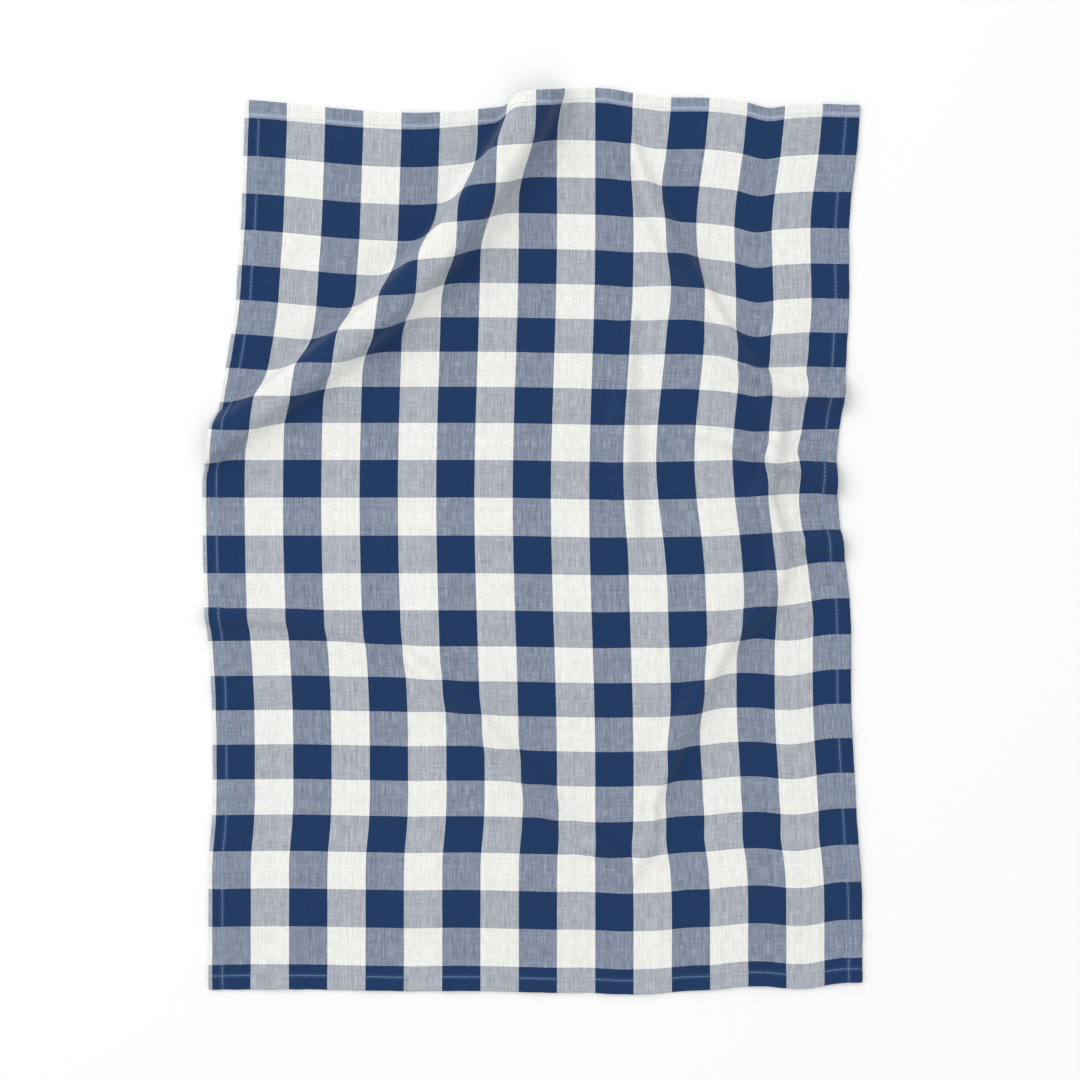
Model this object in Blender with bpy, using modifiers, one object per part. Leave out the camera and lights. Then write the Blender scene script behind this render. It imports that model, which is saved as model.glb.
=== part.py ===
"""A rumpled gingham tea towel lying on a flat surface, as one sheet of cloth with its hems.

Metres, +Z up. The towel's upper end, as seen from above, points along +Y. The origin is
the centre of the towel's outline, at the height of the surface that it lies on.
"""
from typing import NamedTuple

import bmesh
import bpy
import numpy as np

# Driving dimensions of the flat cloth
SELVEDGE = 0.003            # sliver of light warp outside the first blue stripe
CHECK_ACROSS = 0.0287       # width of one warp stripe
CHECKS_ACROSS = 17
CHECK_DOWN = 0.0271         # mean height of one weft stripe
CHECKS_DOWN = 24            # whole weft stripes between the two end hems
BEAT_UP = 0.0014            # how far a weft stripe's height swings about its mean
BEAT_PERIOD = 11.5          # weft stripes in one swing
TOP_STRIP = 0.0135          # part stripe above the first whole one, at the left edge
TOP_TAPER = 0.0040          # how much lower that strip is at the right edge, as it was cut
BOTTOM_STRIP = 0.0188       # part stripe below the last whole one

# Thicknesses and hems
CLOTH_THICKNESS = 0.0012
HEM_THICKNESS = 0.0024
SIDE_HEM = 0.0120
TOP_HEM = 0.0120
BOTTOM_HEM = 0.0120
HEM_STEP = 0.0020           # width over which a hem steps down to the single cloth
TAPER_REACH = 0.06          # how far down the stations follow the slanting cut of the top edge

# Stations of the mesh, and the finer grid between them on which the shape is worked out
STATIONS_ACROSS = 60
STATIONS_DOWN = 85
HEM_STATIONS = 2            # outermost stations at each edge, which carry the hem's thickness
FINE = 5                    # finer places for each gap between stations
ROUNDS = 8                  # times that the two sets of yarns are laid, each after the other
PATH_STEPS = 48
BLEND = 6                   # power that joins ridges: the higher, the nearer to their maximum
BEND = 0.0075               # length over which a flank bends at its foot, and again at its head
STEEPEST = 0.2              # least run of a yarn for each unit of its length
SHARED = 0.008              # how far to each side crossing yarns pass on a neighbour's shortfall

CLOTH_COLOUR = (0.33, 0.38, 0.48, 1.0)
CLOTH_ROUGHNESS = 0.9


class Bow(NamedTuple):
    """How far a nearly straight yarn swings aside, around one place along its length."""

    centre: float           # in checks along the yarn
    reach: float            # in checks
    aside: float            # in metres


class Fold(NamedTuple):
    """One ridge of the cloth, along a smooth curve through three places.

    Places count checks: across from the first blue stripe's outer edge, and down from
    the top of the first whole weft stripe. The crest is the width of the level top, the
    flank the width of flat cloth in each sloping side, and the height that of the crest,
    in metres. The last two columns are the share of flank and height at both ends.
    """

    start: tuple
    middle: tuple
    end: tuple
    crest: float
    flank: float
    height: float
    at_start: float
    at_end: float


# The two yarns from which every other point is measured, counted in checks, and their bows
STRAIGHT_WARP = 10.0
WARP_BOWS = (Bow(11.0, 7.5, -0.0045),)
STRAIGHT_WEFT = 11.5
WEFT_BOWS = (Bow(11.0, 4.0, -0.0016), Bow(17.0, 4.0, 0.0035))

RIDGES = {
    "long ridge": Fold((8.65, -1.6), (4.85, 4.6), (-1.2, 10.3), 0.012, 0.032, 0.0240, 1.0, 0.50),
    "right shoulder": Fold((10.8, 0.2), (11.9, 3.2), (13.7, 6.3), 0.000, 0.022, 0.0132, 0.3, 0.8),
    "side ridge": Fold((13.7, 6.3), (15.1, 8.6), (14.8, 11.0), 0.000, 0.017, 0.0086, 1.0, 1.0),
    "side ridge below": Fold((14.8, 11.0), (15.0, 13.2), (13.6, 15.0), 0.000, 0.018, 0.0104, 1.2, 0.9),
    "right of the shield": Fold((13.6, 15.0), (12.5, 17.2), (11.5, 19.6), 0.000, 0.019, 0.0108, 0.9, 0.7),
    "foot, right": Fold((11.5, 19.6), (11.4, 20.6), (10.8, 21.8), 0.000, 0.014, 0.0066, 0.9, 0.4),
    "left edge fold": Fold((-0.8, 14.3), (2.0, 14.3), (4.6, 14.9), 0.000, 0.015, 0.0070, 0.9, 0.8),
    "left of the shield": Fold((4.6, 14.9), (6.6, 16.9), (8.6, 19.4), 0.000, 0.015, 0.0070, 0.8, 0.9),
    "foot, left": Fold((8.6, 19.4), (9.6, 20.5), (11.0, 21.2), 0.000, 0.014, 0.0066, 0.9, 0.6),
    "middle swell": Fold((11.0, 6.0), (11.0, 9.8), (11.4, 13.0), 0.000, 0.024, 0.0118, 0.4, 0.2),
}

# Small ripples that run over the ridges, in the same columns
RIPPLES = {
    "upper ripple": Fold((14.0, 6.9), (15.5, 7.8), (17.8, 8.7), 0.000, 0.017, 0.0086, 0.3, 0.8),
    "middle ripple": Fold((12.8, 9.2), (15.0, 9.8), (17.8, 10.6), 0.000, 0.017, 0.0096, 0.3, 1.0),
    "lower ripple": Fold((15.4, 12.2), (16.4, 12.4), (17.8, 12.6), 0.000, 0.016, 0.0078, 0.2, 0.9),
}


def smooth(share):
    """Smooth step from 0 to 1 as the share goes from 0 to 1."""
    share = np.clip(share, 0, 1)
    return share * share * (3 - 2 * share)


def warp_place(stripes):
    """Distance across the flat cloth of a count of warp stripes."""
    return SELVEDGE + CHECK_ACROSS * stripes


def weft_place(stripes):
    """Distance down the flat cloth of a count of weft stripes, whose height swings a little."""
    swing = BEAT_UP * BEAT_PERIOD / (2 * np.pi)
    return TOP_STRIP + CHECK_DOWN * stripes + swing * np.sin(2 * np.pi * stripes / BEAT_PERIOD)


def through_places(places, steps):
    """Smooth curve through three places, at steps that run from 0 to 1."""
    start, middle, end = places
    return (start * (1 - steps) * (1 - 2 * steps)
            + middle * 4 * steps * (1 - steps)
            + end * steps * (2 * steps - 1))


def ramp(share, rounded):
    """Even slope from 0 to 1, of which a share at each end is rounded off."""
    share = np.clip(share, 0, 1)
    foot = rounded - np.minimum(share, rounded)
    head = rounded - np.minimum(1 - share, rounded)
    return (share - rounded / 2 + (foot ** 2 - head ** 2) / (2 * rounded)) / (1 - rounded)


def fold_height(fold, across, down):
    """Height of one fold over the flat cloth, from the distance to its path."""
    steps = np.linspace(0, 1, PATH_STEPS)
    path_across = warp_place(through_places((fold.start[0], fold.middle[0], fold.end[0]), steps))
    path_down = weft_place(through_places((fold.start[1], fold.middle[1], fold.end[1]), steps))
    nearest = np.full(across.shape, np.inf)
    along = np.zeros(across.shape)
    for k in range(PATH_STEPS - 1):
        run_across = path_across[k + 1] - path_across[k]
        run_down = path_down[k + 1] - path_down[k]
        off_across = across - path_across[k]
        off_down = down - path_down[k]
        share = (off_across * run_across + off_down * run_down) / (run_across ** 2 + run_down ** 2)
        share = np.clip(share, 0, 1)
        gap = np.hypot(off_across - share * run_across, off_down - share * run_down)
        along = np.where(gap < nearest, steps[k] + share * steps[1], along)
        nearest = np.minimum(gap, nearest)
    shoulder = np.where(along < 0.5, fold.at_start, fold.at_end)
    level = shoulder + (1 - shoulder) * smooth(1 - np.abs(2 * along - 1))
    flank = fold.flank * level
    rounded = min(BEND / fold.flank, 0.5)
    return fold.height * level * ramp((fold.crest / 2 + flank - nearest) / flank, rounded)


def cloth_height(across, down):
    """All folds together: of two ridges that meet the higher one wins, and ripples add to it."""
    ridges = sum(fold_height(fold, across, down) ** BLEND for fold in RIDGES.values())
    ripples = sum(fold_height(fold, across, down) for fold in RIPPLES.values())
    return ridges ** (1 / BLEND) + ripples


def running_sum(rates, places, axis):
    """Running sum of rates over places along an axis, by the trapezium rule, from 0."""
    rates = np.moveaxis(rates, axis, 0)
    gaps = np.diff(np.moveaxis(places, axis, 0), axis=0)
    sums = np.zeros(rates.shape)
    sums[1:] = np.cumsum((rates[1:] + rates[:-1]) / 2 * gaps, axis=0)
    return np.moveaxis(sums, 0, axis)


def shared(rates, places, axis):
    """Rates averaged with their neighbours', near ones more, as crossing yarns hold together."""
    gaps = (places[:, None] - places[None, :]) / SHARED
    weights = np.exp(-gaps ** 2 / 2)
    weights /= weights.sum(axis=1, keepdims=True)
    return weights @ rates if axis == 0 else rates @ weights.T


def bowed(bows, places):
    """How far a yarn swings aside at places along it, in checks: the sum of its bows."""
    return sum(bow.aside * smooth(1 - np.abs(places - bow.centre) / bow.reach) for bow in bows)


def lay_cloth(across, down):
    """Lays the flat cloth over its folds, with every yarn at its full length.

    A yarn that climbs a fold or swings aside covers less ground in its own direction, so
    each place is a running sum along the yarns, from two that lie nearly straight.
    """
    height = cloth_height(across, down)
    columns, rows = across[0], down[:, 0]
    fall, climb = np.gradient(height, rows, columns)
    straight_column = np.argmin(np.abs(columns - warp_place(STRAIGHT_WARP)))
    straight_row = np.argmin(np.abs(rows - weft_place(STRAIGHT_WEFT)))
    warp_line = columns[straight_column] + bowed(WARP_BOWS, (rows - TOP_STRIP) / CHECK_DOWN)
    weft_line = bowed(WEFT_BOWS, (columns - SELVEDGE) / CHECK_ACROSS) - rows[straight_row]
    x, y = across, -down
    for _ in range(ROUNDS):
        turn_y = np.gradient(y, columns, axis=1)
        turn_x = np.gradient(x, rows, axis=0)
        run_x = np.sqrt(np.clip(1 - climb ** 2 - turn_y ** 2, STEEPEST ** 2, 1))
        run_y = np.sqrt(np.clip(1 - fall ** 2 - turn_x ** 2, STEEPEST ** 2, 1))
        x = running_sum(shared(run_x, rows, 0), across, 1)
        y = -running_sum(shared(run_y, columns, 1), down, 0)
        x = x - x[:, [straight_column]] + warp_line[:, None]
        y = y - y[[straight_row]] + weft_line[None, :]
    return x, y, height


WIDTH = warp_place(CHECKS_ACROSS)
LENGTH = weft_place(CHECKS_DOWN) + BOTTOM_STRIP


def stations(size, first_hem, last_hem, count):
    """Mesh stations along one side: both hems, their steps, and even ones between."""
    inner = np.linspace(first_hem + HEM_STEP, size - last_hem - HEM_STEP, count)
    return np.concatenate(([0, first_hem], inner, [size - last_hem, size]))


def finer(coarse):
    """Adds even places between the stations, where the cloth's shape is worked out too."""
    steps = np.arange((len(coarse) - 1) * FINE + 1) / FINE
    return np.interp(steps, np.arange(len(coarse)), coarse)


def trimmed(surface, fine_rows, rows, columns):
    """Reads a surface at its rows, of which those near the top run along the slanting cut."""
    slant = smooth(1 - rows / TAPER_REACH)[:, None] * TOP_TAPER * columns / WIDTH
    return np.stack([np.interp(rows + slant[:, k], fine_rows, surface[:, k])
                     for k in range(len(columns))], axis=1)


def cloth_material():
    """Woven cotton in the mean colour of its blue and white checks."""
    material = bpy.data.materials.new("gingham_cotton")
    material.use_nodes = True
    shader = material.node_tree.nodes["Principled BSDF"]
    shader.inputs["Base Color"].default_value = CLOTH_COLOUR
    shader.inputs["Roughness"].default_value = CLOTH_ROUGHNESS
    shader.inputs["Metallic"].default_value = 0.0
    return material


def build_towel(collection):
    """The towel: a grid laid over its folds, with the cloth's thickness above the underside."""
    columns = stations(WIDTH, SIDE_HEM, SIDE_HEM, STATIONS_ACROSS)
    rows = stations(LENGTH, TOP_HEM, BOTTOM_HEM, STATIONS_DOWN)
    across, down = np.meshgrid(finer(columns), finer(rows))
    laid = (surface[:, ::FINE] for surface in lay_cloth(across, down))
    x, y, height = (trimmed(surface, finer(rows), rows, columns) for surface in laid)

    sheet = bmesh.new()
    bmesh.ops.create_grid(sheet, x_segments=len(columns) - 1, y_segments=len(rows) - 1, size=0.5)
    sheet.verts.ensure_lookup_table()
    hem_layer = sheet.verts.layers.deform.new()
    for vertex in sheet.verts:
        column = round((vertex.co.x + 0.5) * (len(columns) - 1))
        row = round((0.5 - vertex.co.y) * (len(rows) - 1))
        from_edge = min(column, row, len(columns) - 1 - column, len(rows) - 1 - row)
        vertex[hem_layer][0] = float(from_edge < HEM_STATIONS)
        vertex.co = (x[row, column], y[row, column], height[row, column])
    split_along_folds(sheet)
    mesh = bpy.data.meshes.new("towel")
    sheet.to_mesh(mesh)
    sheet.free()

    towel = bpy.data.objects.new("towel", mesh)
    towel.vertex_groups.new(name="hem")
    collection.objects.link(towel)
    mesh.materials.append(cloth_material())
    thickness = towel.modifiers.new("cloth thickness", "SOLIDIFY")
    thickness.thickness = HEM_THICKNESS
    thickness.offset = 1.0
    thickness.vertex_group = "hem"
    thickness.thickness_vertex_group = CLOTH_THICKNESS / HEM_THICKNESS
    centre_outline(towel)
    mesh.shade_smooth()
    return towel


def split_along_folds(sheet):
    """Splits each face that isn't level along the diagonal that changes least in height."""
    for face in list(sheet.faces):
        first, second, third, fourth = face.verts
        if max(vertex.co.z for vertex in face.verts) == 0:
            continue
        if abs(first.co.z - third.co.z) <= abs(second.co.z - fourth.co.z):
            bmesh.utils.face_split(face, first, third)
        else:
            bmesh.utils.face_split(face, second, fourth)


def centre_outline(towel):
    """Moves the sheet so that its finished outline is centred on the origin."""
    bpy.context.view_layer.update()
    finished = towel.evaluated_get(bpy.context.evaluated_depsgraph_get())
    corners = np.array(finished.bound_box)
    middle = (corners.min(axis=0) + corners.max(axis=0)) / 2
    for vertex in towel.data.vertices:
        vertex.co.x -= middle[0]
        vertex.co.y -= middle[1]


def main():
    """Clears the scene and builds the towel in its own collection."""
    for old in list(bpy.data.objects):
        bpy.data.objects.remove(old)
    collection = bpy.data.collections.new("tea_towel")
    bpy.context.scene.collection.children.link(collection)
    build_towel(collection)


main()
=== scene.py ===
"""A rumpled gingham tea towel on a pale floor: its woven cloth, turned hems and hem stitches.

Metres, +Z up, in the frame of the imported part: +X runs across the towel from left to
right, +Y points to its upper end, and the floor is at height 0. A place on the flat cloth
is given as its distance across from the left edge and down from the top edge.
"""
import logging
import math
from dataclasses import dataclass, field
from enum import Enum
from typing import NamedTuple, Union

import bpy
import numpy as np
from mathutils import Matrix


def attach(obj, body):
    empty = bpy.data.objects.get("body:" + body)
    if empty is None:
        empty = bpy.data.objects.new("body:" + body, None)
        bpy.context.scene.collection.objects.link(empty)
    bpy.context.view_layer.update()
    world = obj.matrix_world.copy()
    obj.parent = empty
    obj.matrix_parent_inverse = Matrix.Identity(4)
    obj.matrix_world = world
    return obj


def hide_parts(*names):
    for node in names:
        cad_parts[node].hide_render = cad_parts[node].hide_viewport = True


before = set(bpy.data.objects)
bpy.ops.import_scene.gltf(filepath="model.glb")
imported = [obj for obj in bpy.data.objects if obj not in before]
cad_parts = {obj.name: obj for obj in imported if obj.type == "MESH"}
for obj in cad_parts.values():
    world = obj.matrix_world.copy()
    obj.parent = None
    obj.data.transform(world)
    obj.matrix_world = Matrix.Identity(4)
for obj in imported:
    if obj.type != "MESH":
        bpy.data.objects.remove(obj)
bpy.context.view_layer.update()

BODY = "root"
CAD_NODE = "towel"
FLAT_MAP = "flat_cloth"

Array = np.ndarray
Socket = bpy.types.NodeSocket
Value = Union[float, Socket]
Colour = tuple[float, float, float]

log = logging.getLogger("tea_towel")


def smooth(share: Array) -> Array:
    """Smooth step: 0 below 0, 1 above 1, and 3s^2 - 2s^3 between."""
    share = np.clip(share, 0, 1)
    return share * share * (3 - 2 * share)


def unit(vectors: Array) -> Array:
    """Vectors along the last axis, each divided by its own length."""
    return vectors / np.linalg.norm(vectors, axis=-1, keepdims=True)


@dataclass(frozen=True)
class Gingham:
    """The flat cloth: a sliver of white, 17 warp stripes, and 24 weft stripes between part ones.

    Its top edge was cut aslant, so the part stripe there is lower at the right by top_taper.
    """

    selvedge: float = 0.003
    check_across: float = 0.0287
    checks_across: int = 17
    check_down: float = 0.0271
    checks_down: int = 24
    beat_up: float = 0.0014
    beat_period: float = 11.5
    top_strip: float = 0.0135
    top_taper: float = 0.0040
    bottom_strip: float = 0.0188

    @property
    def swing(self) -> float:
        """Distance that a weft stripe's edge swings about its even place."""
        return self.beat_up * self.beat_period / (2 * math.pi)

    @property
    def width(self) -> float:
        """Width of the flat cloth."""
        return self.selvedge + self.check_across * self.checks_across

    @property
    def length(self) -> float:
        """Length of the flat cloth."""
        return float(self.weft_place(self.checks_down)) + self.bottom_strip

    def warp_place(self, stripes: Array) -> Array:
        """Distance across of a count of warp stripes: the selvedge plus so many checks."""
        return self.selvedge + self.check_across * stripes

    def weft_place(self, stripes: Array) -> Array:
        """Distance down of a count of weft stripes: so many mean checks plus a slow sine swing."""
        turn = 2 * math.pi * stripes / self.beat_period
        return self.top_strip + self.check_down * stripes + self.swing * np.sin(turn)


class Bow(NamedTuple):
    """How far a nearly straight yarn swings aside, around one place along its length.

    The centre and the reach are counted in checks, and aside is in metres.
    """

    centre: float
    reach: float
    aside: float


class Fold(NamedTuple):
    """One fold along a smooth curve through three places, which count checks across and down.

    The crest is the width of the level top, the flank the width of flat cloth in each
    sloping side, and the height that of the crest, in metres. The last two columns are
    the share of flank and height at the start and at the end.
    """

    start: tuple
    middle: tuple
    end: tuple
    crest: float
    flank: float
    height: float
    at_start: float
    at_end: float


RIDGES = {
    "long ridge":
        Fold((8.65, -1.6), (4.85, 4.6), (-1.2, 10.3), 0.012, 0.032, 0.0240, 1.0, 0.50),
    "right shoulder":
        Fold((10.8, 0.2), (11.9, 3.2), (13.7, 6.3), 0.000, 0.022, 0.0132, 0.3, 0.8),
    "side ridge":
        Fold((13.7, 6.3), (15.1, 8.6), (14.8, 11.0), 0.000, 0.017, 0.0086, 1.0, 1.0),
    "side ridge below":
        Fold((14.8, 11.0), (15.0, 13.2), (13.6, 15.0), 0.000, 0.018, 0.0104, 1.2, 0.9),
    "right of the shield":
        Fold((13.6, 15.0), (12.5, 17.2), (11.5, 19.6), 0.000, 0.019, 0.0108, 0.9, 0.7),
    "foot, right":
        Fold((11.5, 19.6), (11.4, 20.6), (10.8, 21.8), 0.000, 0.014, 0.0066, 0.9, 0.4),
    "left edge fold":
        Fold((-0.8, 14.3), (2.0, 14.3), (4.6, 14.9), 0.000, 0.015, 0.0070, 0.9, 0.8),
    "left of the shield":
        Fold((4.6, 14.9), (6.6, 16.9), (8.6, 19.4), 0.000, 0.015, 0.0070, 0.8, 0.9),
    "foot, left":
        Fold((8.6, 19.4), (9.6, 20.5), (11.0, 21.2), 0.000, 0.014, 0.0066, 0.9, 0.6),
    "middle swell":
        Fold((11.0, 6.0), (11.0, 9.8), (11.4, 13.0), 0.000, 0.024, 0.0118, 0.4, 0.2),
}

# Small ripples that run over the ridges, in the same columns
RIPPLES = {
    "upper ripple":
        Fold((14.0, 6.9), (15.5, 7.6), (17.8, 8.0), 0.000, 0.017, 0.0082, 0.3, 1.3),
    "middle ripple":
        Fold((12.8, 9.2), (15.0, 9.7), (17.8, 11.0), 0.000, 0.017, 0.0092, 0.3, 1.1),
    "lower ripple":
        Fold((15.4, 12.2), (16.4, 12.4), (17.8, 12.6), 0.000, 0.016, 0.0078, 0.2, 0.9),
}


@dataclass(frozen=True)
class Folds:
    """The height of the cloth over the floor, as ridges, ripples and gentle unevenness."""

    cloth: Gingham
    path_steps: int = 48
    blend: int = 6
    bend: float = 0.0075
    wave_count: int = 46
    buckle_height: float = 0.0005
    buckle_lengths: tuple = (0.022, 0.075)
    seed: int = 11

    def path(self, places: tuple, steps: Array) -> Array:
        """Quadratic curve through three places, which it meets at steps 0, 1/2 and 1."""
        start, middle, end = places
        return (start * (1 - steps) * (1 - 2 * steps)
                + middle * 4 * steps * (1 - steps)
                + end * steps * (2 * steps - 1))

    def ramp(self, share: Array, rounded: float) -> Array:
        """Even slope from 0 to 1, of which a share at each end is a parabola.

        Args:
            share: place on the slope, from 0 at its foot to 1 at its head.
            rounded: share of the slope in each parabola.

        Returns:
            The height at each place, as a share of the slope's.
        """
        share = np.clip(share, 0, 1)
        foot = rounded - np.minimum(share, rounded)
        head = rounded - np.minimum(1 - share, rounded)
        return (share - rounded / 2 + (foot ** 2 - head ** 2) / (2 * rounded)) / (1 - rounded)

    def one(self, fold: Fold, across: Array, down: Array) -> Array:
        """Height of one fold: a level crest between two even flanks with rounded ends.

        Args:
            fold: the fold's path and section.
            across, down: places on the flat cloth.

        Returns:
            height x level x ramp((crest / 2 + flank x level - distance) / (flank x level)),
            where the level eases from the fold's share at its nearer end to 1 halfway along.
        """
        steps = np.linspace(0, 1, self.path_steps)
        ends = (fold.start, fold.middle, fold.end)
        line_x = self.cloth.warp_place(self.path(tuple(p[0] for p in ends), steps))
        line_y = self.cloth.weft_place(self.path(tuple(p[1] for p in ends), steps))
        nearest = np.full(across.shape, np.inf)
        along = np.zeros(across.shape)
        for k in range(self.path_steps - 1):
            run_x, run_y = line_x[k + 1] - line_x[k], line_y[k + 1] - line_y[k]
            off_x, off_y = across - line_x[k], down - line_y[k]
            share = np.clip((off_x * run_x + off_y * run_y) / (run_x ** 2 + run_y ** 2), 0, 1)
            gap = np.hypot(off_x - share * run_x, off_y - share * run_y)
            along = np.where(gap < nearest, steps[k] + share * steps[1], along)
            nearest = np.minimum(gap, nearest)
        shoulder = np.where(along < 0.5, fold.at_start, fold.at_end)
        level = shoulder + (1 - shoulder) * smooth(1 - np.abs(2 * along - 1))
        flank = fold.flank * level
        rounded = min(self.bend / fold.flank, 0.5)
        climbed = (fold.crest / 2 + flank - nearest) / flank
        return fold.height * level * self.ramp(climbed, rounded)

    def waves(self, across: Array, down: Array, seed: int, lengths: tuple) -> Array:
        """Even noise from -1 to 1: a sum of sine waves of random heading, length and phase.

        Args:
            across, down: places on the flat cloth.
            seed: the random seed of the waves.
            lengths: the shortest and the longest wave.

        Returns:
            The sum at each place, divided by the root of twice the count of waves.
        """
        chance = np.random.default_rng(seed)
        total = np.zeros(across.shape)
        for _ in range(self.wave_count):
            heading = chance.uniform(0, math.pi)
            pace = 2 * math.pi / chance.uniform(*lengths)
            phase = chance.uniform(0, 2 * math.pi)
            reach = across * math.cos(heading) + down * math.sin(heading)
            total += np.sin(pace * reach + phase)
        return np.clip(total / math.sqrt(2 * self.wave_count), -1, 1)

    def main_height(self, across: Array, down: Array) -> Array:
        """Ridges joined by a power mean, so that the higher one wins, with ripples added.

        Args:
            across, down: places on the flat cloth.

        Returns:
            (sum of ridge^blend)^(1 / blend) + sum of ripples.
        """
        ridges = sum(self.one(fold, across, down) ** self.blend for fold in RIDGES.values())
        ripples = sum(self.one(fold, across, down) for fold in RIPPLES.values())
        return ridges ** (1 / self.blend) + ripples

    def height(self, across: Array, down: Array) -> Array:
        """Main height plus low buckles, which are never below the floor."""
        buckles = self.waves(across, down, self.seed, self.buckle_lengths)
        return self.main_height(across, down) + self.buckle_height * (1 + buckles)


@dataclass(frozen=True)
class Laying:
    """Lays flat cloth over its folds with every yarn at its full length."""

    cloth: Gingham
    straight_warp: float = 10.0
    warp_bows: tuple = (Bow(11.0, 7.5, -0.0045),)
    straight_weft: float = 11.5
    weft_bows: tuple = (Bow(11.0, 4.0, -0.0016), Bow(17.0, 4.0, 0.0035))
    rounds: int = 8
    steepest: float = 0.2
    shared: float = 0.008
    hem_shared: float = 0.018
    hem_reach: float = 0.045

    def bowed(self, bows: tuple, places: Array) -> Array:
        """How far a yarn swings aside at places along it, in checks: the sum of its bows."""
        return sum(bow.aside * smooth(1 - np.abs(places - bow.centre) / bow.reach)
                   for bow in bows)

    def ground(self, climb: Array, turn: Array) -> Array:
        """Ground that a unit of yarn covers: sqrt(1 - climb^2 - turn^2), with a least value."""
        return np.sqrt(np.clip(1 - climb ** 2 - turn ** 2, self.steepest ** 2, 1))

    def running_sum(self, rates: Array, places: Array, axis: int) -> Array:
        """Running sum of rates over places along an axis, by the trapezium rule, from 0.

        Args:
            rates: a rate at each row and column.
            places: the places of the rows or of the columns.
            axis: 0 to sum down the columns, 1 to sum along the rows.

        Returns:
            The sum up to each row and column.
        """
        rates = np.moveaxis(rates, axis, 0)
        gaps = np.diff(places)[:, None]
        sums = np.zeros(rates.shape)
        sums[1:] = np.cumsum((rates[1:] + rates[:-1]) / 2 * gaps, axis=0)
        return np.moveaxis(sums, 0, axis)

    def with_neighbours(self, rates: Array, places: Array, axis: int, shared: float) -> Array:
        """Average of the rates around each place, by a bell curve of the distance.

        Args:
            rates: a rate at each row and column.
            places: the places of the rows or of the columns.
            axis: 0 to average down the columns, 1 to average along the rows.
            shared: the bell curve's width.

        Returns:
            Sum of weight x rate over sum of weights, where a weight is
            exp(-(distance / shared)^2 / 2) x the gap between places.
        """
        gaps = (places[:, None] - places[None, :]) / shared
        weights = np.exp(-gaps ** 2 / 2) * np.gradient(places)
        weights /= weights.sum(axis=1, keepdims=True)
        return weights @ rates if axis == 0 else rates @ weights.T

    def lay(self, columns: Array, rows: Array, height: Array) -> tuple[Array, Array]:
        """Works out where each place of the flat cloth comes to lie.

        A yarn that climbs or turns aside covers less ground in its own direction. Each
        place is the running sum of that along its yarns, from one warp and one weft yarn
        that lie nearly straight.

        Args:
            columns: distances across of the grid's columns.
            rows: distances down of its rows.
            height: height of the cloth at each row and column.

        Returns:
            x and y of each row and column, with y pointing up the towel.
        """
        fall, climb = np.gradient(height, rows, columns)
        column = np.argmin(np.abs(columns - self.cloth.warp_place(self.straight_warp)))
        row = np.argmin(np.abs(rows - self.cloth.weft_place(self.straight_weft)))
        checks_across = (columns - self.cloth.selvedge) / self.cloth.check_across
        checks_down = (rows - self.cloth.top_strip) / self.cloth.check_down
        warp_line = columns[column] + self.bowed(self.warp_bows, checks_down)
        weft_line = self.bowed(self.weft_bows, checks_across) - rows[row]
        x, y = np.meshgrid(columns, -rows)
        for _ in range(self.rounds):
            run_x = self.ground(climb, np.gradient(y, columns, axis=1))
            run_y = self.ground(fall, np.gradient(x, rows, axis=0))
            run_x = self.with_neighbours(run_x, rows, 0, self.shared)
            run_y = self.with_neighbours(run_y, columns, 1, self.shared)
            x = self.running_sum(run_x, columns, 1)
            y = -self.running_sum(run_y, rows, 0)
            x = x - x[:, [column]] + warp_line[:, None]
            y = y - y[[row]] + weft_line[None, :]
        return self.evened(x, columns, rows), y

    def evened(self, x: Array, columns: Array, rows: Array) -> Array:
        """Evens the right edge, where the doubled hem is stiffer than the cloth.

        The edge's x is averaged along it by a bell curve, and the cloth beside it takes up
        the change, which fades by a smooth step over hem_reach.

        Args:
            x: x of each row and column.
            columns, rows: distances across and down of the grid's columns and rows.

        Returns:
            The evened x of each row and column.
        """
        change = self.with_neighbours(x[:, [-1]], rows, 0, self.hem_shared) - x[:, [-1]]
        return x + change * smooth(1 - (columns[-1] - columns) / self.hem_reach)


class Edge(Enum):
    """The four hemmed edges of the towel."""

    LEFT = "left"
    RIGHT = "right"
    TOP = "top"
    BOTTOM = "bottom"


@dataclass(frozen=True)
class Hem:
    """One turned hem: its width, and the distance of its stitch line from the edge.

    Beside the stitches the cloth is lighter, by a share of a pale tone: a painted highlight where
    the puckered cloth catches the light.
    """

    width: float
    stitch_line: float
    # share and tone of the painted highlight on the puckered cloth beside the stitch line
    pale: float = 0.14
    highlight_tone: Colour = (0.22, 0.38, 0.66)


HEMS = {
    Edge.LEFT: Hem(0.0120, 0.0105),
    Edge.RIGHT: Hem(0.0118, 0.0104),
    Edge.TOP: Hem(0.0121, 0.0109, 0.60, (0.45, 0.52, 0.68)),
    Edge.BOTTOM: Hem(0.0122, 0.0106),
}


def new_mesh(name: str, points: Array, faces: list[Array], even: bool = True) -> bpy.types.Object:
    """Makes a mesh object from points and blocks of faces.

    Args:
        name: the object's and the mesh's name.
        points: one row of x, y and z for each point.
        faces: blocks of faces, each an array with one row of point numbers for each face.
        even: whether the faces are shaded smooth.

    Returns:
        The object, linked to the scene.
    """
    mesh = bpy.data.meshes.new(name)
    mesh.from_pydata(points.tolist(), [], [face for block in faces for face in block.tolist()])
    mesh.polygons.foreach_set("use_smooth", np.full(len(mesh.polygons), even))
    mesh.update()
    piece = bpy.data.objects.new(name, mesh)
    bpy.context.scene.collection.objects.link(piece)
    return piece


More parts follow.
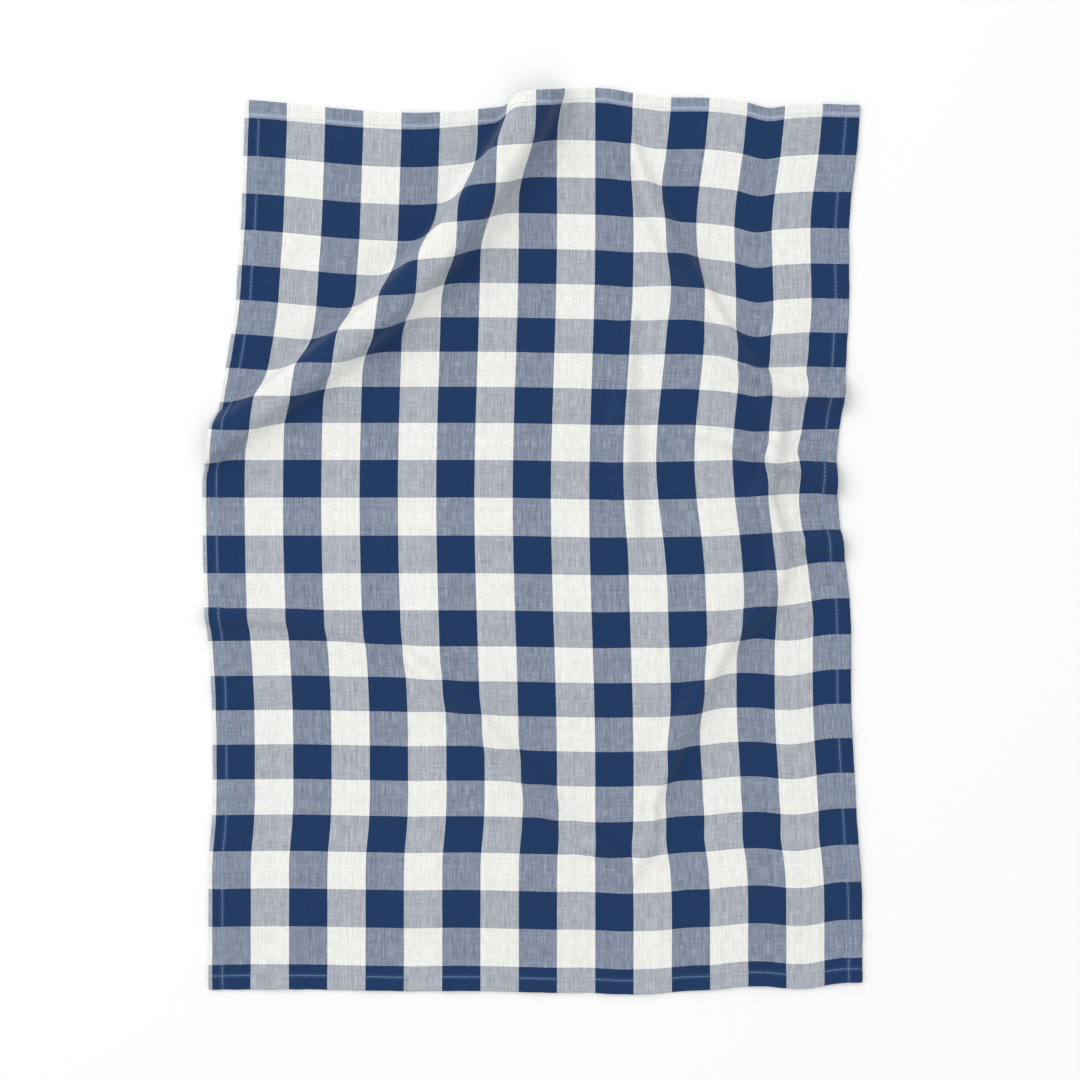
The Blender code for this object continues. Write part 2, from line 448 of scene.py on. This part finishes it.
@dataclass
class Cloth:
    """The towel itself: one closed sheet with a top face, an underside and a rounded edge."""

    gingham: Gingham
    folds: Folds
    laying: Laying
    name: str = "gingham_towel"
    cloth_thickness: float = 0.0008
    hem_thickness: float = 0.0018
    hem_step: float = 0.0022
    groove_depth: float = 0.0003
    groove_width: float = 0.0012
    rope_height: float = 0.00025
    rope_lengths: tuple = (0.009, 0.022)
    edge_zone: float = 0.0025
    edge_gap: float = 0.0010
    open_gap: float = 0.0031
    rim_rings: int = 4
    taper_reach: float = 0.06
    columns: Array = field(init=False)
    rows: Array = field(init=False)
    top: Array = field(init=False)
    normals: Array = field(init=False)
    piece: bpy.types.Object = field(init=False)

    def stations(self, size: float, first: Hem, last: Hem) -> Array:
        """Grid places along one side: close together over the hems, wider apart between.

        Args:
            size: the flat cloth's size along that side.
            first, last: the hems at its two ends.

        Returns:
            The places, from half a hem's thickness inside one edge to the same at the other.
        """
        inset = self.hem_thickness / 2
        first_zone = first.width + self.hem_step + self.edge_zone
        last_zone = size - last.width - self.hem_step - self.edge_zone
        first_count = round((first_zone - inset) / self.edge_gap)
        last_count = round((size - inset - last_zone) / self.edge_gap)
        open_count = round((last_zone - first_zone) / self.open_gap)
        return np.concatenate((
            np.linspace(inset, first_zone, first_count, endpoint=False),
            np.linspace(first_zone, last_zone, open_count, endpoint=False),
            np.linspace(last_zone, size - inset, last_count + 1),
        ))

    def slant(self, across: Array, rows: Array) -> Array:
        """How far the slanting top edge pushes a row down: taper x share across x a fade."""
        fade = smooth(1 - rows / self.taper_reach)
        return self.gingham.top_taper * across / self.gingham.width * fade

    def between_rows(self, surface: Array, down: Array) -> Array:
        """Reads a surface in each column at distances down, by straight steps between its rows.

        Args:
            surface: a value at each row and column.
            down: the distance down to read at, for each row and column.

        Returns:
            The value there.
        """
        row = np.clip(np.searchsorted(self.rows, down) - 1, 0, len(self.rows) - 2)
        share = (down - self.rows[row]) / np.diff(self.rows)[row]
        column = np.broadcast_to(np.arange(surface.shape[1]), down.shape)
        return surface[row, column] * (1 - share) + surface[row + 1, column] * share

    def thickness(self, across: Array, down: Array) -> Array:
        """Thickness of the cloth, which is greater over hems and less along stitches.

        Over a hem it eases up by a smooth step. The hem's own ripples are low waves, and
        each groove is a bell curve of the distance to the stitch line.

        Args:
            across, down: places on the flat cloth.

        Returns:
            The thickness at each place.
        """
        gaps = {
            Edge.LEFT: across,
            Edge.RIGHT: self.gingham.width - across,
            Edge.TOP: down,
            Edge.BOTTOM: self.gingham.length - down,
        }
        share = np.zeros(across.shape)
        groove = np.zeros(across.shape)
        for edge, gap in gaps.items():
            hem = HEMS[edge]
            share = np.maximum(share, 1 - smooth((gap - hem.width) / self.hem_step))
            bell = np.exp(-((gap - hem.stitch_line) / self.groove_width) ** 2)
            groove = np.maximum(groove, bell)
        rope = self.folds.waves(across, down, self.folds.seed + 1, self.rope_lengths)
        extra = self.hem_thickness - self.cloth_thickness + self.rope_height * rope
        return self.cloth_thickness + share * extra - self.groove_depth * groove

    def build(self) -> None:
        """Lays the grid, adds the thickness along the normals, and closes it round its edge."""
        self.columns = self.stations(self.gingham.width, HEMS[Edge.LEFT], HEMS[Edge.RIGHT])
        self.rows = self.stations(self.gingham.length, HEMS[Edge.TOP], HEMS[Edge.BOTTOM])
        across, down = np.meshgrid(self.columns, self.rows)
        main = self.folds.main_height(across, down)
        x, y = self.laying.lay(self.columns, self.rows, main)
        down = down + self.slant(across, down)
        x, y = self.between_rows(x, down), self.between_rows(y, down)
        height = self.folds.height(across, down)
        x = x - (x.min() + x.max()) / 2
        y = y - (y.min() + y.max()) / 2
        under = np.stack((x, y, height), axis=-1)
        self.normals = unit(np.cross(np.gradient(under, axis=0), np.gradient(under, axis=1)))
        self.top = under + self.normals * self.thickness(across, down)[..., None]
        self.piece = self.closed_sheet(under, across, down)

    def closed_sheet(self, under: Array, across: Array, down: Array) -> bpy.types.Object:
        """Joins the top face, the underside and a half-round rim into one closed mesh.

        Around the rim, each ring lies at an angle from the top to the underside, at half
        the thickness times the angle's sine above the middle, and its cosine outwards.

        Args:
            under: points of the underside, by row and column.
            across, down: the same points' places on the flat cloth.

        Returns:
            The sheet, with a map of the flat cloth.
        """
        count_down, count_across = across.shape
        size = across.size
        number = np.arange(size).reshape(count_down, count_across)
        loop = np.concatenate((number[:-1, 0], number[-1, :-1],
                               number[:0:-1, -1], number[0, :0:-1]))
        top, low = self.top.reshape(-1, 3), under.reshape(-1, 3)
        middle, half = (top[loop] + low[loop]) / 2, (top[loop] - low[loop]) / 2
        run = np.roll(middle, -1, axis=0) - np.roll(middle, 1, axis=0)
        out = np.cross(run, half)
        half_length = np.linalg.norm(half, axis=1, keepdims=True)
        out *= half_length / np.linalg.norm(out, axis=1, keepdims=True)
        angles = np.linspace(math.pi / 2, -math.pi / 2, self.rim_rings + 2)[1:-1]
        rings = [middle + half * math.sin(angle) + out * math.cos(angle) for angle in angles]

        points = np.concatenate((top, low, *rings))
        upper = np.stack((number[:-1, :-1], number[1:, :-1],
                          number[1:, 1:], number[:-1, 1:]), axis=-1).reshape(-1, 4)
        lower = upper[:, ::-1] + size
        ring_numbers = 2 * size + np.arange(self.rim_rings * len(loop)).reshape(-1, len(loop))
        loops = [loop, *ring_numbers, loop + size]
        rims = [np.stack((above, below, np.roll(below, -1), np.roll(above, -1)), axis=-1)
                for above, below in zip(loops, loops[1:])]
        piece = new_mesh(self.name, points, [upper, lower, *rims])

        flat = np.stack((across, self.gingham.length - down), axis=-1).reshape(-1, 2)
        flat = flat / self.gingham.length
        places = np.concatenate((flat, flat, *([flat[loop]] * self.rim_rings)))
        corner = np.zeros(len(piece.data.loops), dtype=np.int32)
        piece.data.loops.foreach_get("vertex_index", corner)
        layer = piece.data.uv_layers.new(name=FLAT_MAP)
        layer.uv.foreach_set("vector", places[corner].astype(np.float32).ravel())
        return piece

    def on_top(self, across: Array, down: Array) -> tuple[Array, Array]:
        """Points of the top face and their normals, by bilinear steps between the grid's places.

        Args:
            across, down: places on the flat cloth.

        Returns:
            The points and the unit normals, each with a last axis of three.
        """
        down = down - self.slant(across, down - self.slant(across, down))
        column = np.clip(np.searchsorted(self.columns, across) - 1, 0, len(self.columns) - 2)
        row = np.clip(np.searchsorted(self.rows, down) - 1, 0, len(self.rows) - 2)
        s = (across - self.columns[column]) / np.diff(self.columns)[column]
        t = (down - self.rows[row]) / np.diff(self.rows)[row]
        s, t = np.clip(s, 0, 1)[..., None], np.clip(t, 0, 1)[..., None]
        found = []
        for grid in (self.top, self.normals):
            first = grid[row, column] * (1 - s) + grid[row, column + 1] * s
            second = grid[row + 1, column] * (1 - s) + grid[row + 1, column + 1] * s
            found.append(first * (1 - t) + second * t)
        return found[0], unit(found[1])


@dataclass
class HemStitches:
    """The lines of lockstitch along the four hems, with a back-tack at the top right corner.

    A stitch's distance from its line has a standard deviation of wander.
    """

    cloth: Cloth
    pitch: float = 0.0028
    gap: float = 0.00035
    thread: float = 0.00014
    proud: float = 0.00006
    sunk: float = 0.00030
    wander: float = 0.00022 / 3
    end_gap: float = 0.0035
    rings: int = 6
    sides: int = 6
    dive_power: int = 4
    taper_power: int = 6
    thinnest: float = 0.12
    tack_rows: int = 3
    tack_length: float = 0.0085
    tack_step: float = 0.0009
    tack_overlap: float = 0.001
    seed: int = 5
    pieces: list = field(default_factory=list)

    def line(self, edge: Edge) -> tuple[Array, Array, float]:
        """One stitch line on the flat cloth. The side lines start lower by the top's slant.

        Args:
            edge: the hem's edge.

        Returns:
            The line's start, its direction and its length.
        """
        width, length = self.cloth.gingham.width, self.cloth.gingham.length
        inset = HEMS[edge].stitch_line
        if edge in (Edge.LEFT, Edge.RIGHT):
            place = inset if edge is Edge.LEFT else width - inset
            first = self.end_gap + float(self.cloth.slant(place, 0.0))
            return np.array([place, first]), np.array([0.0, 1.0]), length - self.end_gap - first
        place = inset if edge is Edge.TOP else length - inset
        start = np.array([self.end_gap, place])
        return start, np.array([1.0, 0.0]), width - 2 * self.end_gap

    def stitches(self, name: str, starts: Array, ends: Array) -> bpy.types.Object:
        """Stitches as short round threads, each between two places on the flat cloth.

        Along a stitch, with t from 0 to 1, the thread's centre lies at
        proud - (proud + sunk) x |2t - 1|^dive_power from the cloth's face. Its radius is
        the thread's times the root of 1 - |2t - 1|^taper_power, which is held at thinnest
        or more. So both ends dive into the cloth.

        Args:
            name: the piece's name.
            starts, ends: first and last place of each stitch, as rows of across and down.

        Returns:
            The piece.
        """
        t = np.linspace(0, 1, self.rings)
        places = starts[:, None] + (ends - starts)[:, None] * t[None, :, None]
        points, normals = self.cloth.on_top(places[..., 0], places[..., 1])
        side = unit(np.cross(normals, np.gradient(points, axis=1)))
        bend = np.abs(2 * t - 1)
        lift = self.proud - (self.proud + self.sunk) * bend ** self.dive_power
        radius = self.thread * np.sqrt(np.clip(1 - bend ** self.taper_power, self.thinnest, 1))
        turn = 2 * math.pi * np.arange(self.sides) / self.sides
        centre = points + normals * lift[None, :, None]
        shell = (centre[:, :, None]
                 + side[:, :, None] * (radius[:, None] * np.cos(turn))[None, :, :, None]
                 + normals[:, :, None] * (radius[:, None] * np.sin(turn))[None, :, :, None])
        number = np.arange(shell[..., 0].size).reshape(shell.shape[:3])
        first, second = number[:, :-1], number[:, 1:]
        walls = np.stack((first, np.roll(first, -1, axis=2),
                          np.roll(second, -1, axis=2), second), axis=-1)
        caps = [number[:, 0, ::-1], number[:, -1]]
        return new_mesh(name, shell.reshape(-1, 3), [walls.reshape(-1, 4), *caps])

    def build(self) -> None:
        """Sews the four hems and the back-tack."""
        chance = np.random.default_rng(self.seed)
        for edge in Edge:
            start, heading, length = self.line(edge)
            count = round(length / self.pitch)
            step = length / count
            places = np.arange(count)[:, None] * step
            aside = heading[::-1] * chance.normal(0, self.wander, (count, 1))
            starts = start + heading * (places + self.gap / 2) + aside
            ends = start + heading * (places + step - self.gap / 2) + aside
            self.pieces.append(self.stitches(f"stitches_{edge.value}", starts, ends))
        self.pieces.append(self.back_tack())

    def back_tack(self) -> bpy.types.Object:
        """A few stitches back and forth across the right line, where it meets the top hem.

        Returns:
            The back-tack.
        """
        right = self.cloth.gingham.width - HEMS[Edge.RIGHT].stitch_line + self.tack_overlap
        first = HEMS[Edge.TOP].stitch_line - self.tack_overlap
        down = first + self.tack_step * np.arange(self.tack_rows)
        count = round(self.tack_length / self.pitch)
        steps = np.arange(count) * self.tack_length / count
        across, down = np.meshgrid(right - steps, down)
        starts = np.stack((across.ravel(), down.ravel()), axis=-1)
        ends = starts + np.array([-self.tack_length / count + self.gap, self.tack_step / 2])
        return self.stitches("back_tack", starts, ends)


class NodeBench:
    """Wires shader nodes in one material by short calls."""

    def __init__(self, name: str) -> None:
        """Starts a material with an empty Principled surface.

        Args:
            name: the material's name.
        """
        self.material = bpy.data.materials.new(name)
        self.material.use_nodes = True
        self.tree = self.material.node_tree
        self.surface = self.tree.nodes["Principled BSDF"]

    def give(self, socket: Socket, value: object) -> None:
        """Links a socket's value, or sets it, with full opacity added to a colour.

        Args:
            socket: the input.
            value: a socket to link, a colour, or a number.
        """
        if isinstance(value, bpy.types.NodeSocket):
            self.tree.links.new(value, socket)
        elif isinstance(value, tuple):
            socket.default_value = (*value, 1.0)
        else:
            socket.default_value = value

    def node(self, kind: str, values: dict, **settings: object) -> bpy.types.Node:
        """Adds a node.

        Args:
            kind: the node's Blender type.
            values: what each input is set or linked to, by the input's name or number.
            settings: the node's own options.

        Returns:
            The node.
        """
        node = self.tree.nodes.new(kind)
        for key, setting in settings.items():
            setattr(node, key, setting)
        for key, value in values.items():
            self.give(node.inputs[key], value)
        return node

    def math(self, kind: str, first: Value, second: Value = 0.0, third: Value = 0.0) -> Socket:
        """One Math node."""
        inputs = {0: first, 1: second, 2: third}
        return self.node("ShaderNodeMath", inputs, operation=kind).outputs[0]

    def add(self, first: Value, second: Value) -> Socket:
        """Sum of two values."""
        return self.math("ADD", first, second)

    def subtract(self, first: Value, second: Value) -> Socket:
        """First value less the second."""
        return self.math("SUBTRACT", first, second)

    def multiply(self, first: Value, second: Value) -> Socket:
        """Product of two values."""
        return self.math("MULTIPLY", first, second)

    def divide(self, first: Value, second: Value) -> Socket:
        """First value over the second."""
        return self.math("DIVIDE", first, second)

    def stretch(self, value: Value, gain: Value, offset: Value) -> Socket:
        """Value times a gain, plus an offset."""
        return self.math("MULTIPLY_ADD", value, gain, offset)

    def spread(self, value: Value, start: tuple, end: tuple) -> Socket:
        """Maps a value from one range to another, held inside it."""
        inputs = {0: value, 1: start[0], 2: start[1], 3: end[0], 4: end[1]}
        return self.node("ShaderNodeMapRange", inputs, clamp=True).outputs[0]

    def vector(self, x: Value, y: Value, z: Value = 0.0) -> Socket:
        """A vector of three values."""
        return self.node("ShaderNodeCombineXYZ", {0: x, 1: y, 2: z}).outputs[0]

    def noise(self, place: Socket, detail: float) -> Socket:
        """Soft noise from 0 to 1 with features about one unit wide."""
        inputs = {"Vector": place, "Scale": 1.0, "Detail": detail}
        return self.node("ShaderNodeTexNoise", inputs, noise_dimensions="2D").outputs["Fac"]

    def chance(self, value: Socket) -> Socket:
        """An even random number from 0 to 1 for each whole value."""
        node = self.node("ShaderNodeTexWhiteNoise", {"W": value}, noise_dimensions="1D")
        return node.outputs["Value"]

    def bump(self, height: Socket, strength: float, distance: float) -> Socket:
        """Normals of a small relief, whose height runs from 0 to 1 over a distance."""
        inputs = {"Strength": strength, "Distance": distance, "Height": height}
        return self.node("ShaderNodeBump", inputs).outputs[0]

    def blend(self, share: Value, first: object, second: object, kind: str = "MIX") -> Socket:
        """Mixes two colours by a share.

        Args:
            share: how much of the second colour is used, from 0 to 1.
            first, second: the colours, as sockets or as red, green and blue.
            kind: the Mix node's way of blending.

        Returns:
            The mixed colour.
        """
        mix = self.node("ShaderNodeMix", {}, data_type="RGBA", blend_type=kind, clamp_factor=True)
        factor, colour_a, colour_b = mix.inputs[0], mix.inputs[6], mix.inputs[7]
        self.give(factor, share)
        self.give(colour_a, first)
        self.give(colour_b, second)
        return mix.outputs[2]

    def dress(self, **values: object) -> None:
        """Sets or links the surface's own inputs, with underscores for spaces in their names."""
        for key, value in values.items():
            self.give(self.surface.inputs[key.replace("_", " ")], value)


@dataclass(frozen=True)
class GinghamFinish:
    """Plain-woven cotton in four tones: navy, white, and two where navy and white yarns cross.

    The contrasts and the gains are shares of the way from one tone to another.
    """

    cloth: Gingham
    navy: Colour = (0.0072, 0.0345, 0.113)
    white: Colour = (0.862, 0.860, 0.825)
    navy_warp_tone: Colour = (0.205, 0.250, 0.338)
    navy_weft_tone: Colour = (0.408, 0.434, 0.486)
    # width of the painted highlight beside each stitch line
    pucker_highlight_width: float = 0.0013
    yarns_across: float = 44.0
    yarns_down: float = 40.0
    streak_width: float = 0.0009
    streak_length: float = 0.011
    streak_detail: float = 3.0
    slub_gain: float = 1.6
    yarn_gain: float = 0.3
    weft_gain: float = 0.6
    weft_shift: float = 7.3
    yarn_contrast: float = 0.22
    streak_contrast: float = 0.36
    plain_contrast: float = 0.22
    slub_relief: float = 0.8
    bump_strength: float = 0.35
    bump_height: float = 0.00012
    roughness: float = 0.88
    sheen: float = 0.12
    sheen_roughness: float = 0.5
    specular: float = 0.25
    swing_rounds: int = 2

    def make(self) -> bpy.types.Material:
        """Builds the material, from the cloth's flat map to its colour and its bump.

        Returns:
            The material.
        """
        bench = NodeBench("gingham_weave")
        flat = bench.node("ShaderNodeUVMap", {}, uv_map=FLAT_MAP).outputs["UV"]
        place = bench.node("ShaderNodeSeparateXYZ", {0: flat})
        length = self.cloth.length
        across = bench.multiply(place.outputs[0], length)
        down = bench.multiply(bench.subtract(1.0, place.outputs[1]), length)
        stripes_across, stripes_down = self.stripes(bench, across, down)
        warp_white = self.is_odd(bench, stripes_across)
        weft_white = self.is_odd(bench, stripes_down)

        warp_yarn = bench.multiply(stripes_across, self.yarns_across)
        weft_yarn = bench.multiply(stripes_down, self.yarns_down)
        crossing = bench.add(bench.math("FLOOR", warp_yarn), bench.math("FLOOR", weft_yarn))
        warp_over = self.is_odd(bench, crossing)
        warp_streak = self.streak(bench, warp_yarn, across, down, 0.0)
        weft_streak = self.streak(bench, weft_yarn, down, across, self.weft_shift)
        streaks = bench.add(warp_streak, bench.multiply(weft_streak, self.weft_gain))

        navy_warp = bench.blend(weft_white, self.navy, self.navy_warp_tone)
        white_warp = bench.blend(weft_white, self.navy_weft_tone, self.white)
        colour = bench.blend(warp_white, navy_warp, white_warp)
        mixed = bench.math("ABSOLUTE", bench.subtract(warp_white, weft_white))
        over = bench.subtract(warp_over, 0.5)
        side = bench.stretch(warp_white, 2.0, -1.0)
        yarn = bench.multiply(bench.multiply(over, side), self.yarn_contrast)
        lighter = bench.add(yarn, bench.multiply(streaks, self.streak_contrast))
        lighter = bench.multiply(lighter, mixed)
        darker = bench.multiply(lighter, -1.0)
        colour = bench.blend(bench.math("MAXIMUM", lighter, 0.0), colour, self.white)
        colour = bench.blend(bench.math("MAXIMUM", darker, 0.0), colour, self.navy)
        # painted highlight on the puckered cloth beside the stitch lines
        colour = self.painted_pucker_highlight(bench, colour, across, down)
        plain = bench.stretch(streaks, self.plain_contrast, 1.0)
        colour = bench.blend(1.0, colour, bench.vector(plain, plain, plain), "MULTIPLY")
        bench.dress(Base_Color=colour, Roughness=self.roughness, Sheen_Weight=self.sheen,
                    Sheen_Roughness=self.sheen_roughness, Specular_IOR_Level=self.specular,
                    Normal=self.relief(bench, warp_yarn, weft_yarn, warp_over, streaks))
        return bench.material

    def painted_pucker_highlight(self, bench: NodeBench, colour: Socket, across: Socket, down: Socket) -> Socket:
        """Paints a highlight on the puckered cloth beside each stitch line, by a bell curve of the
        distance to it.

        Args:
            bench: the material's bench.
            colour: the cloth's colour.
            across, down: place on the flat cloth.

        Returns:
            The colour, lighter by the painted highlight.
        """
        right = bench.subtract(self.cloth.width, across)
        low = bench.subtract(self.cloth.length, down)
        gaps = {Edge.LEFT: across, Edge.RIGHT: right, Edge.TOP: down, Edge.BOTTOM: low}
        for edge, gap in gaps.items():
            hem = HEMS[edge]
            reach = bench.divide(bench.subtract(gap, hem.stitch_line), self.pucker_highlight_width)
            fall = bench.multiply(bench.multiply(reach, reach), -1.0)
            share = bench.multiply(bench.math("EXPONENT", fall), hem.pale)
            colour = bench.blend(share, colour, hem.highlight_tone, "LIGHTEN")
        return colour

    def stripes(self, bench: NodeBench, across: Socket, down: Socket) -> tuple[Socket, Socket]:
        """Counts of warp and weft stripes. The second undoes the sine swing by a few rounds.

        Args:
            bench: the material's bench.
            across, down: place on the flat cloth.

        Returns:
            The count of stripes across and the count down.
        """
        cloth = self.cloth
        first = bench.divide(bench.subtract(across, cloth.selvedge), cloth.check_across)
        even = bench.divide(bench.subtract(down, cloth.top_strip), cloth.check_down)
        second = even
        for _ in range(self.swing_rounds):
            turn = bench.multiply(second, 2 * math.pi / cloth.beat_period)
            shift = bench.multiply(bench.math("SINE", turn), cloth.swing / cloth.check_down)
            second = bench.subtract(even, shift)
        return first, second

    def is_odd(self, bench: NodeBench, count: Socket) -> Socket:
        """1 where the whole part of a count is odd, else 0."""
        return bench.math("FLOORED_MODULO", bench.math("FLOOR", count), 2.0)

    def streak(self, bench: NodeBench, yarn: Socket, over: Socket, along: Socket,
               shift: float) -> Socket:
        """Tone of one set of yarns, from about -0.5 to 0.5: each yarn's own, and slubs along it.

        Args:
            bench: the material's bench.
            yarn: the count of yarns up to this place.
            over, along: distance across the yarns and along them.
            shift: a number that sets this set's pattern apart.

        Returns:
            The tone.
        """
        chance = bench.chance(bench.add(bench.math("FLOOR", yarn), shift))
        own = bench.subtract(chance, 0.5)
        wide = bench.divide(over, self.streak_width)
        long = bench.stretch(along, 1 / self.streak_length, shift)
        slub = bench.subtract(bench.noise(bench.vector(wide, long), self.streak_detail), 0.5)
        return bench.stretch(slub, self.slub_gain, bench.multiply(own, self.yarn_gain))

    def relief(self, bench: NodeBench, warp_yarn: Socket, weft_yarn: Socket, warp_over: Socket,
               streaks: Socket) -> Socket:
        """Bump of the weave: the yarn on top is a half-round, and slubs stand a little higher.

        A yarn's crown is 1 - 4 x (distance from its middle)^2, with its width as 1.

        Args:
            bench: the material's bench.
            warp_yarn, weft_yarn: counts of yarns up to this place.
            warp_over: 1 where the warp yarn is on top, else 0.
            streaks: the slubs' tone.

        Returns:
            The normals.
        """
        crowns = []
        for yarn in (warp_yarn, weft_yarn):
            off = bench.subtract(bench.math("FRACT", yarn), 0.5)
            crowns.append(bench.subtract(1.0, bench.multiply(bench.multiply(off, off), 4.0)))
        weft_over = bench.subtract(1.0, warp_over)
        crown = bench.add(bench.multiply(crowns[0], warp_over),
                          bench.multiply(crowns[1], weft_over))
        height = bench.stretch(streaks, self.slub_relief, crown)
        return bench.bump(height, self.bump_strength, self.bump_height)


@dataclass(frozen=True)
class ThreadFinish:
    """Pale cotton thread with its twist as fine slanting ridges, and painted shade in the grooves
    between them.
    """

    colour: Colour = (0.38, 0.49, 0.66)
    # colour of the painted shade in the twist's grooves
    painted_twist_shade: Colour = (0.26, 0.36, 0.54)
    twist_width: float = 0.0004
    bump_strength: float = 0.4
    bump_height: float = 0.00005
    roughness: float = 0.6
    sheen: float = 0.2

    def make(self) -> bpy.types.Material:
        """Builds the material from slanting bands in the piece's own coordinates, with painted
        shade in the twist's grooves.

        Returns:
            The material.
        """
        bench = NodeBench("hem_thread")
        place = bench.node("ShaderNodeTexCoord", {}).outputs["Object"]
        x, y, z = bench.node("ShaderNodeSeparateXYZ", {0: place}).outputs
        slant = bench.add(bench.add(x, y), z)
        band = bench.math("SINE", bench.multiply(slant, 2 * math.pi / self.twist_width))
        share = bench.spread(band, (-1.0, 1.0), (0.0, 1.0))
        # painted shade in the twist's grooves, where the bump is low
        bench.dress(Base_Color=bench.blend(share, self.painted_twist_shade, self.colour),
                    Roughness=self.roughness, Sheen_Weight=self.sheen,
                    Normal=bench.bump(share, self.bump_strength, self.bump_height))
        return bench.material


@dataclass(frozen=True)
class FloorFinish:
    """Matt pale board."""

    colour: Colour = (0.985, 0.985, 0.983)
    roughness: float = 0.95
    mottle_depth: float = 0.05
    mottle_scale: float = 3.0
    specular: float = 0.1

    def make(self) -> bpy.types.Material:
        """Builds the material, with a trace of mottle in its roughness.

        Returns:
            The material.
        """
        bench = NodeBench("pale_board")
        place = bench.node("ShaderNodeTexCoord", {}).outputs["Object"]
        inputs = {"Vector": place, "Scale": self.mottle_scale}
        mottle = bench.node("ShaderNodeTexNoise", inputs).outputs["Fac"]
        lowest = self.roughness - self.mottle_depth
        rough = bench.spread(mottle, (0.0, 1.0), (lowest, self.roughness))
        bench.dress(Base_Color=self.colour, Roughness=rough, Specular_IOR_Level=self.specular)
        return bench.material


@dataclass
class Studio:
    """The pale floor, the soft lights and the camera straight above."""

    camera_height: float = 1.9
    frame_width: float = 0.81
    camera_place: tuple = (0.0057, 0.0008)
    sensor: float = 36.0
    floor_size: float = 8.0
    floor_gap: float = 0.0003
    sky: float = 0.86
    key_power: float = 20.0
    key_size: float = 2.2
    key_place: tuple = (-1.5, 1.3, 1.9)

    def lay_floor(self, finish: FloorFinish) -> bpy.types.Object:
        """Lays a square floor just under the towel.

        Args:
            finish: what the floor is made of.

        Returns:
            The floor.
        """
        half = self.floor_size / 2
        corners = np.array([[-half, -half], [half, -half], [half, half], [-half, half]])
        points = np.column_stack((corners, np.full(len(corners), -self.floor_gap)))
        floor = new_mesh("floor", points, [np.array([[0, 1, 2, 3]])], even=False)
        floor.data.materials.append(finish.make())
        return floor

    def light(self) -> None:
        """A white surround, and one large soft lamp from the upper left."""
        world = bpy.data.worlds.new("soft_room")
        world.use_nodes = True
        background = world.node_tree.nodes["Background"]
        background.inputs["Color"].default_value = (1.0, 1.0, 1.0, 1.0)
        background.inputs["Strength"].default_value = self.sky
        bpy.context.scene.world = world
        data = bpy.data.lights.new("key", "AREA")
        data.shape, data.size, data.energy = "DISK", self.key_size, self.key_power
        lamp = bpy.data.objects.new("key", data)
        lamp.location = self.key_place
        x, y, z = self.key_place
        lean = math.acos(z / math.hypot(x, y, z))
        lamp.rotation_euler = (0.0, lean, math.atan2(y, x))
        bpy.context.scene.collection.objects.link(lamp)

    def camera(self) -> None:
        """A camera straight above, whose frame is frame_width wide at the floor."""
        data = bpy.data.cameras.new("camera")
        data.sensor_width = self.sensor
        data.lens = self.sensor * self.camera_height / self.frame_width
        camera = bpy.data.objects.new("camera", data)
        camera.location = (*self.camera_place, self.camera_height)
        bpy.context.scene.collection.objects.link(camera)
        bpy.context.scene.camera = camera
        bpy.context.scene.view_settings.view_transform = "Standard"


def main() -> None:
    """Builds the towel, its stitches and the studio, and logs each piece."""
    logging.basicConfig(level=logging.INFO, format="%(name)s: %(message)s")
    gingham = Gingham()
    cloth = Cloth(gingham, Folds(gingham), Laying(gingham))
    cloth.build()
    cloth.piece.data.materials.append(GinghamFinish(gingham).make())
    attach(cloth.piece, BODY)
    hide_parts(CAD_NODE)
    log.info("%s: %d faces", cloth.piece.name, len(cloth.piece.data.polygons))

    sewing = HemStitches(cloth)
    sewing.build()
    thread = ThreadFinish().make()
    for piece in sewing.pieces:
        piece.data.materials.append(thread)
        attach(piece, BODY)
        log.info("%s: %d faces", piece.name, len(piece.data.polygons))

    studio = Studio()
    floor = studio.lay_floor(FloorFinish())
    gingham.length
    log.info("%s: under the towel", floor.name)
    studio.light()
    studio.camera()
    log.info("towel of %.3f x %.3f m of flat cloth", gingham.width, gingham.length)

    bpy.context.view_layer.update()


if __name__ == "__main__":
    main()
